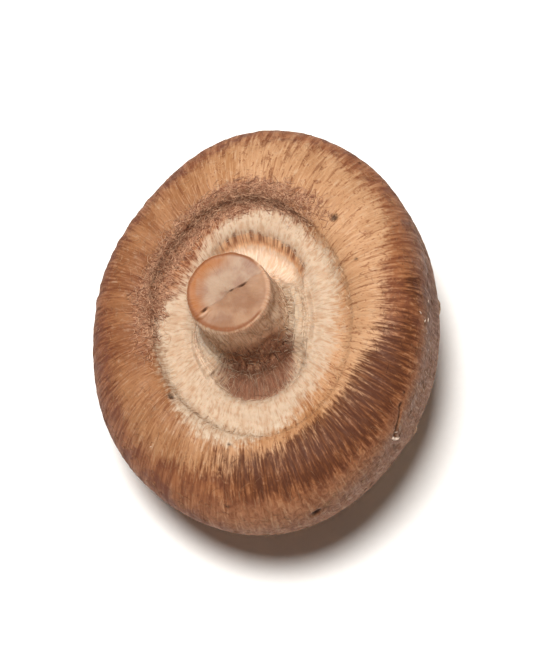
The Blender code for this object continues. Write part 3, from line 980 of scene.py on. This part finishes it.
def stemSurface(along, turn):
    # Height above the smooth skin in mm: fibres, lumps and a ridge, less the foot under the
    # sleeve, the split with its holes, a lower half and a rounded rim. Then the masks that colour it
    along, turn = np.broadcast_arrays(along, turn)
    skin = smoothSkin(along, turn)
    height = outlineAt(along)[1]
    fibres = streakNoise(turn, along, 1.6, 6, 83) - 0.5
    lumps = solidNoise(skin, 1.9, 89) - 0.5
    onCut = fade(along, cutEdge - 0.6, cutEdge + 0.5)
    sleeveEnd = pitFloor + around(turn, "sleeve")
    foot = fade(along, sleeveEnd - 1.2, sleeveEnd - 3.0)
    across = math.radians(stem["splitTurn"] + 90)
    x = skin[..., 0] - form["stemLean"][0]
    y = skin[..., 1] - form["stemLean"][1]
    wander = 0.5 * (latticeNoise(0.8 * x, 0.8 * y, 0 * x, 97) - 0.5)
    side = x * math.cos(across) + y * math.sin(across) - stem["splitShift"] + wander
    run = x * math.sin(across) - y * math.cos(across)
    deepOnCut = fade(along, cutEdge - 0.2, cutEdge + 0.6)
    opening = 0.03 + 0.05 * latticeNoise(1.2 * run, 0 * run, 0 * run, 101)
    hole = np.exp(-(((run + 4.3) / 0.45) ** 2)) + 0.8 * np.exp(-(((run - 2.4) / 0.7) ** 2))
    hole = hole + 0.5 * np.exp(-(((run - 0.6) / 0.3) ** 2))
    split = fade(np.abs(side), opening + 0.1 + 0.14 * hole, 0.5 * opening) * deepOnCut
    lower = fade(side, 0.15, -0.15) * onCut
    ridge = np.exp(-(((side + 0.55) / 0.3) ** 2)) * fade(run, -3.2, -4.4) * onCut
    rounded = fade(along, cutEdge - 0.8, cutEdge + 0.8) * fade(along, cutEdge + 3.5, cutEdge + 0.8)
    relief = (
        stem["fibreHeight"] * fibres * (1 - 0.7 * onCut)
        + stem["lumpHeight"] * lumps
        - 0.4 * foot
        - (0.03 + 0.6 * hole) * split * stem["splitDepth"] * 2
        - 0.06 * lower
        + stem["ridgeHeight"] * ridge
        - 0.25 * rounded * ringNoise(turn, 2.2, 105)
    )
    rimWidth = 0.4 + 0.3 * ringNoise(turn, 5, 103)
    rimWidth = rimWidth + 0.3 * nearTurn(turn, 240, 70, 20)
    rim = fade(np.abs(along - cutEdge - 0.1), rimWidth, 0.1)
    rim = rim * (1 - 0.8 * nearTurn(turn, 5, 50, 30))
    amber = nearTurn(turn, 158, 92, 40) * fade(along, cutEdge + 3.4, cutEdge + 0.7) * onCut
    amber = amber * fade(latticeNoise(0.9 * x + 9, 0.9 * y, 0 * x, 107), -0.3, 0.4)
    # Painted light: the stem's side lightened below the cut on the right and on the lower left, where it
    # lies in shade
    pale = 0.9 * nearTurn(turn, 14, 66, 34) * fade(height, 16, 11)
    pale = np.maximum(pale, nearTurn(turn, 215, 62, 30) * fade(height, 26, 18))
    masks = {
        "cut": onCut,
        "rim": 0.9 * rim,
        "amber": 0.9 * amber,
        "lower": 0.85 * lower,
        "split": np.clip(split * (0.06 + 0.94 * hole), 0, 1),
        # The stem's foot, stained and painted with shade
        "stainAndShade": around(turn, "stainAndShade") * fade(height, 12.5, 6.5),
        "ridge": 0.8 * ridge,
        "pale": pale,
        "flow": flowOf(along, turn) * np.array([0.35, 0.35, 1.0]),
    }
    return relief, masks


def makeStem():
    along = np.linspace(pitFloor + 0.5, path["along"][-1] - 0.05, stem["rows"])[:, None]
    turn = turnsOf(stem["columns"])
    relief, masks = stemSurface(along, turn)
    points = lifted(along, turn, relief)
    sink = np.linspace(0.05, 1, 4)[:, None, None]
    first = points[:1]
    hidden = first * np.concatenate([sink, sink, 0 * sink + 1], 2)
    hidden[..., 2] = hidden[..., 2] - 1.0
    points = np.concatenate([hidden, points])
    masks = {label: np.concatenate([np.repeat(v[:1], 4, axis=0), v]) for label, v in masks.items()}
    return closedGrid("stem", points, masks, stemFlesh())


makeStem()


# Fibres that lie on the skin


def layFibres(name, surfaceOf, plan, material):
    # Each fibre's middle line follows the skin from its root, lifted off it and bent sideways,
    # with three sides that narrow to a tip
    count = len(plan["along"])
    rings = plan["rings"]
    share = np.linspace(0, 1, rings + 1)[None, :]
    step = plan["length"][:, None] * share
    heading = np.radians(plan["heading"])[:, None] + plan["curl"][:, None] * share
    along = plan["along"][:, None] + step * np.cos(heading)
    ring = np.maximum(outlineAt(along)[0], 2)
    wave = plan["wave"][:, None] * np.sin(plan["phase"][:, None] + 7 * share) * share
    turn = np.radians(plan["turn"])[:, None] + (step * np.sin(heading) + wave) / ring
    sunk = surfaceOf(along, turn)[0] - 0.06
    centre = lifted(along, turn, sunk + plan["lift"][:, None] * share * (1.6 - 0.9 * share))
    ahead = unit(np.gradient(centre, axis=1))
    side = unit(np.cross(ahead, skinNormal(along, turn)))
    up = np.cross(side, ahead)
    width = plan["width"][:, None] / 2 * (1 - share**2 * 0.9)
    corners = []
    for corner in range(3):
        angle = math.radians(90 + 120 * corner)
        spoke = math.cos(angle) * side + math.sin(angle) * up
        corners.append(centre[:, :-1] + width[:, :-1, None] * spoke[:, :-1])
    body = np.stack(corners, axis=2).reshape(count, rings * 3, 3)
    vertices = np.concatenate([body, centre[:, -1:]], axis=1)

    tip = rings * 3
    base = (np.arange(count) * (tip + 1))[:, None, None]
    first = (np.arange(rings - 1) * 3)[:, None] + np.arange(3)[None, :]
    second = (np.arange(rings - 1) * 3)[:, None] + (np.arange(3)[None, :] + 1) % 3
    sides = np.stack([first, second, second + 3, first + 3], 2).reshape(1, -1, 4)
    quads = (sides + base).reshape(-1, 4)
    top = tip - 3
    ends = np.array([[top, top + 1, tip], [top + 1, top + 2, tip], [top + 2, top, tip], [2, 1, 0]])
    triangles = (ends[None] + base).reshape(-1, 3)
    attributes = {
        "tone": np.repeat(plan["tone"], tip + 1),
        "share": np.tile(np.append(np.repeat(share[0, :-1], 3), 1.0), count),
    }
    return makeMesh(name, asItLies(vertices), quads, triangles, attributes, material)


def fibrePlan(piece, span, heading, curl, turns=(0, 360), rings=4):
    # What each fibre draws, and the generator for what is drawn after it
    random = np.random.default_rng(piece["seed"])
    count = piece["count"]
    plan = {"along": random.uniform(*span, count), "turn": random.uniform(*turns, count)}
    for label in ("length", "width", "lift"):
        plan[label] = random.uniform(*piece[label], count)
    plan["heading"] = random.normal(*heading, count)
    plan["curl"] = random.normal(0, curl, count)
    plan["wave"] = random.uniform(0.0, 0.25, count)
    plan["phase"] = random.uniform(0, 6.3, count)
    plan["tone"] = random.uniform(0, 1, count)
    plan["rings"] = rings
    return plan, random


def thinned(plan, keep):
    return {label: values if label == "rings" else values[keep] for label, values in plan.items()}


down = {"seed": 5, "count": 7500, "length": (0.8, 2.1), "width": (0.1, 0.19), "lift": (0.02, 0.26)}


def makeDown():
    # Pale wavy down over the shaded inside of the margin
    plan, random = fibrePlan(down, (lipEnd - 1.0, wallEnd + 0.4), (5, 45), 1.4, turns=(40, 218))
    masks = innerMasks(plan["along"], np.radians(plan["turn"]))
    keep = random.uniform(0, 1, down["count"]) < 1.2 * masks["fuzz"] - 0.1 - 0.6 * masks["cream"]
    plan["tone"] = plan["tone"] ** 1.5
    plan["wave"] = random.uniform(0.1, 0.4, down["count"])
    material = hairMaterial("pale_down", "#7d4f38", "#cda384")
    return layFibres("down", capSurface, thinned(plan, keep), material)


makeDown()

felt = {"seed": 6, "count": 9500, "length": (0.5, 1.7), "width": (0.08, 0.16), "lift": (0.0, 0.12)}


def makeFelt():
    # Short felted fibres over the rolled margin, gold and brown, straighter low on the near side
    plan, random = fibrePlan(felt, (domeEnd - 8, lipEnd + 3.5), (0, 1), 1.0, rings=3)
    turn = np.radians(plan["turn"])
    straight = nearTurn(turn, 285, 75, 40) * fade(plan["along"], domeEnd + 3, domeEnd + 7)
    plan["heading"] = plan["heading"] * (38 - 28 * straight)
    plan["curl"] = plan["curl"] * (1 - 0.8 * straight)
    plan["length"] = plan["length"] * (1 + 1.1 * straight)
    masks = capSurface(plan["along"], turn)[1]
    gold = masks["gold"] * (0.3 + 0.4 * masks["glow"])
    gold = gold - 0.2 * masks["gold"] * nearTurn(turn, 222, 52, 25)
    # Their tone follows the painted light on the outside and in the gold, and the painted bounce light low
    # on the near flank
    tone = 0.14 + 0.22 * masks["litSide"] + gold - 0.42 * masks["dark"] + 0.2 * masks["flank"]
    plan["tone"] = np.clip(tone + random.normal(0, 0.16, felt["count"]), 0, 1)
    return layFibres("felt", capSurface, plan, hairMaterial("margin_felt", "#4e2a16", "#bd9672"))


makeFelt()

wisps = {"seed": 7, "count": 5000, "length": (0.4, 1.5), "width": (0.07, 0.12), "lift": (0.0, 0.06)}


def makeWisps():
    # Torn cottony threads pressed over the veil, most of them pointing to the stem
    plan, random = fibrePlan(wisps, (wallEnd - 2.8, torn - 0.6), (0, 65), 1.2)
    cream = innerMasks(plan["along"], np.radians(plan["turn"]))["cream"]
    keep = random.uniform(0, 1, wisps["count"]) < 0.15 + 0.85 * cream
    material = hairMaterial("veil_threads", "#b5967b", "#cdb9a4")
    return layFibres("wisps", veilSurface, thinned(plan, keep), material)


makeWisps()

curls = {"seed": 8, "count": 380, "length": (0.8, 2.0), "width": (0.07, 0.13), "lift": (0.04, 0.3)}


def makeCurls():
    # Loose curly threads that stray from the veil's outer edge back up the margin's inside
    plan, random = fibrePlan(curls, (wallEnd - 2.4, wallEnd + 0.6), (180, 35), 1.6, rings=6)
    beside = np.minimum(np.abs((plan["turn"] - 28 + 180) % 360 - 180), np.abs(plan["turn"] - 178))
    keep = random.uniform(0, 1, curls["count"]) < fade(beside, 70, 20) + 0.25
    plan["wave"] = random.uniform(0.2, 0.6, curls["count"])
    material = hairMaterial("loose_threads", "#b48f6f", "#d2b799")
    return layFibres("curls", veilSurface, thinned(plan, keep), material)


makeCurls()

nap = {"seed": 9, "count": 1900, "length": (0.8, 2.6), "width": (0.09, 0.16), "lift": (0.0, 0.15)}


def makeNap():
    # Fibres down the stem's side and over the floor of the pit, darker where the foot is stained and
    # painted with shade
    plan, random = fibrePlan(nap, (pitFloor + 4, cutEdge - 0.6), (180, 10), 0.3)
    height = outlineAt(plan["along"])[1]
    shaded = around(np.radians(plan["turn"]), "stainAndShade") * fade(height, 13.0, 6.5)
    plan["tone"] = np.clip(0.82 - 0.75 * shaded + random.normal(0, 0.12, nap["count"]), 0, 1)
    return layFibres("nap", stemSurface, plan, hairMaterial("stem_fibres", "#7a4f3a", "#dcb596"))


makeNap()

# Torn flakes and crumbs: turn, mm up from the widest ring, length, width, lift, heading, tone
flakes = (
    (317.4, 3.0, 2.2, 0.75, 0.6, 192, 1.0),
    (318.4, 3.1, 0.8, 0.35, 0.3, 150, 0.7),
    (356, 6.0, 0.7, 0.24, 0.25, 40, 0.8),
    (354, 4.9, 0.5, 0.2, 0.2, 110, 0.9),
    (355, 3.3, 0.8, 0.22, 0.25, 75, 0.9),
    (351, 3.9, 0.4, 0.2, 0.2, 10, 0.7),
    (347, 1.7, 0.5, 0.2, 0.2, 140, 0.6),
    (2, 2.6, 0.5, 0.2, 0.2, 60, 0.7),
    (303, -3.6, 0.7, 0.35, 0.2, 90, 0.2),
    (301, -3.2, 0.6, 0.3, 0.2, 60, 0.1),
    (299, -3.8, 0.6, 0.32, 0.2, 130, 0.3),
    (234, 7.4, 0.5, 0.2, 0.15, 20, 0.6),
)


def makeFlakes():
    # A pale flap at the crack's foot, and crumbs caught on the near side
    columns = np.array(flakes).T
    labels = ("turn", "along", "length", "width", "lift", "heading", "tone")
    plan = dict(zip(labels, columns))
    plan["along"] = plan["along"] + domeEnd
    plan["curl"] = np.linspace(-0.6, 0.6, len(flakes))
    plan["wave"] = plan["phase"] = np.zeros(len(flakes))
    plan["rings"] = 6
    material = hairMaterial("torn_flakes", "#6f452f", "#f0d6c2")
    return layFibres("flakes", capSurface, plan, material)


makeFlakes()

web = {"seed": 10, "count": 2400, "length": (0.8, 2.4), "width": (0.08, 0.14), "lift": (0.0, 0.2)}


def pitSurface(along, turn):
    # The higher of veil and stem
    return np.maximum(veilSurface(along, turn)[0], stemSurface(along, turn)[0]), None


def makeWeb():
    # Threads that cross from the torn edge to the stem, brown where the pit is stained and painted with the
    # stem's shadow
    plan, random = fibrePlan(web, (torn - 0.8, pitFloor + 6.5), (0, 22), 0.8)
    turn = np.radians(plan["turn"])
    stainedAndShaded = around(turn, "stainAndShade") * fade(plan["along"], torn - 1, torn + around(turn, "stainAndShadeStart") + 1.5)
    spread = 0.06 + 0.12 * stainedAndShaded
    plan["tone"] = np.clip(0.9 - 0.8 * stainedAndShaded + spread * random.normal(0, 1, web["count"]), 0, 1)
    bare = nearTurn(turn, 76, 60, 40)
    keep = random.uniform(0, 1, web["count"]) < (1 - bare) * (0.45 + 0.55 * stainedAndShaded)
    material = hairMaterial("pit_threads", "#6e4631", "#dcc4a8")
    return layFibres("web", pitSurface, thinned(plan, keep), material)


makeWeb()

# Floor, light and camera

studio = {
    "floorSize": 6.0,
    "floorColours": ("#f4f3f2", "#f8f8f7"),
    "keyDirection": (-0.16, 0.42, 0.89),  # right, up and towards the camera
    "keyDistance": 0.9,
    "keySize": 0.4,
    "keyPower": 14.0,
    "fill": 0.08,
    "elevation": 65.0,
    "distance": 0.48,
    "lens": 170.0,
    "aim": (0.00196, -0.00077),  # middle of the picture, right and up from the widest ring's middle
}


def makeFloor():
    # Nearly white paper with a faint tooth, on which the soft shadow shows
    half = studio["floorSize"] / 2
    corners = [(-half, -half, 0), (half, -half, 0), (half, half, 0), (-half, half, 0)]
    mesh = bpy.data.meshes.new("floor")
    mesh.from_pydata(corners, [], [(0, 1, 2, 3)])
    material, tree, shader = newMaterial("pale_paper")
    place = addNode(tree, "ShaderNodeTexCoord").outputs["Object"]
    colour = blend(tree, grain(tree, place, (900, 900, 900)), *studio["floorColours"])
    setInputs(tree, shader, {"Base Color": colour, "Roughness": 0.9})
    mesh.materials.append(material)
    return addObject("floor", mesh)


def pointed(name, data, location, backward):
    item = addObject(name, data)
    item.location = location
    item.rotation_mode = "QUATERNION"
    item.rotation_quaternion = backward.to_track_quat("Z", "Y")
    return item


makeFloor()

rise = math.radians(studio["elevation"])
right = Vector((1, 0, 0))
upward = Vector((0, math.sin(rise), math.cos(rise)))
backward = Vector((0, -math.cos(rise), math.sin(rise)))
middle = Vector(form["middle"]) * toMetres

key = bpy.data.lights.new("key", "AREA")
key.shape = "DISK"
key.size = studio["keySize"]
key.energy = studio["keyPower"]
key.color = (1.0, 0.975, 0.94)
a, b, c = studio["keyDirection"]
towards = (a * right + b * upward + c * backward).normalized()
pointed("key", key, middle + towards * studio["keyDistance"], towards)

world = bpy.data.worlds.new("studio")
world.use_nodes = True
light = world.node_tree.nodes["Background"]
setInputs(world.node_tree, light, {"Color": (1.0, 0.99, 0.98, 1.0), "Strength": studio["fill"]})
bpy.context.scene.world = world
bpy.context.scene.view_settings.view_transform = "Standard"

camera = bpy.data.cameras.new("camera")
camera.lens = studio["lens"]
camera.sensor_width = 36
camera.clip_start = 0.01
camera.clip_end = 20
aim = middle + right * studio["aim"][0] + upward * studio["aim"][1]
bpy.context.scene.camera = pointed("camera", camera, aim + backward * studio["distance"], backward)
print("floor, light and camera set")
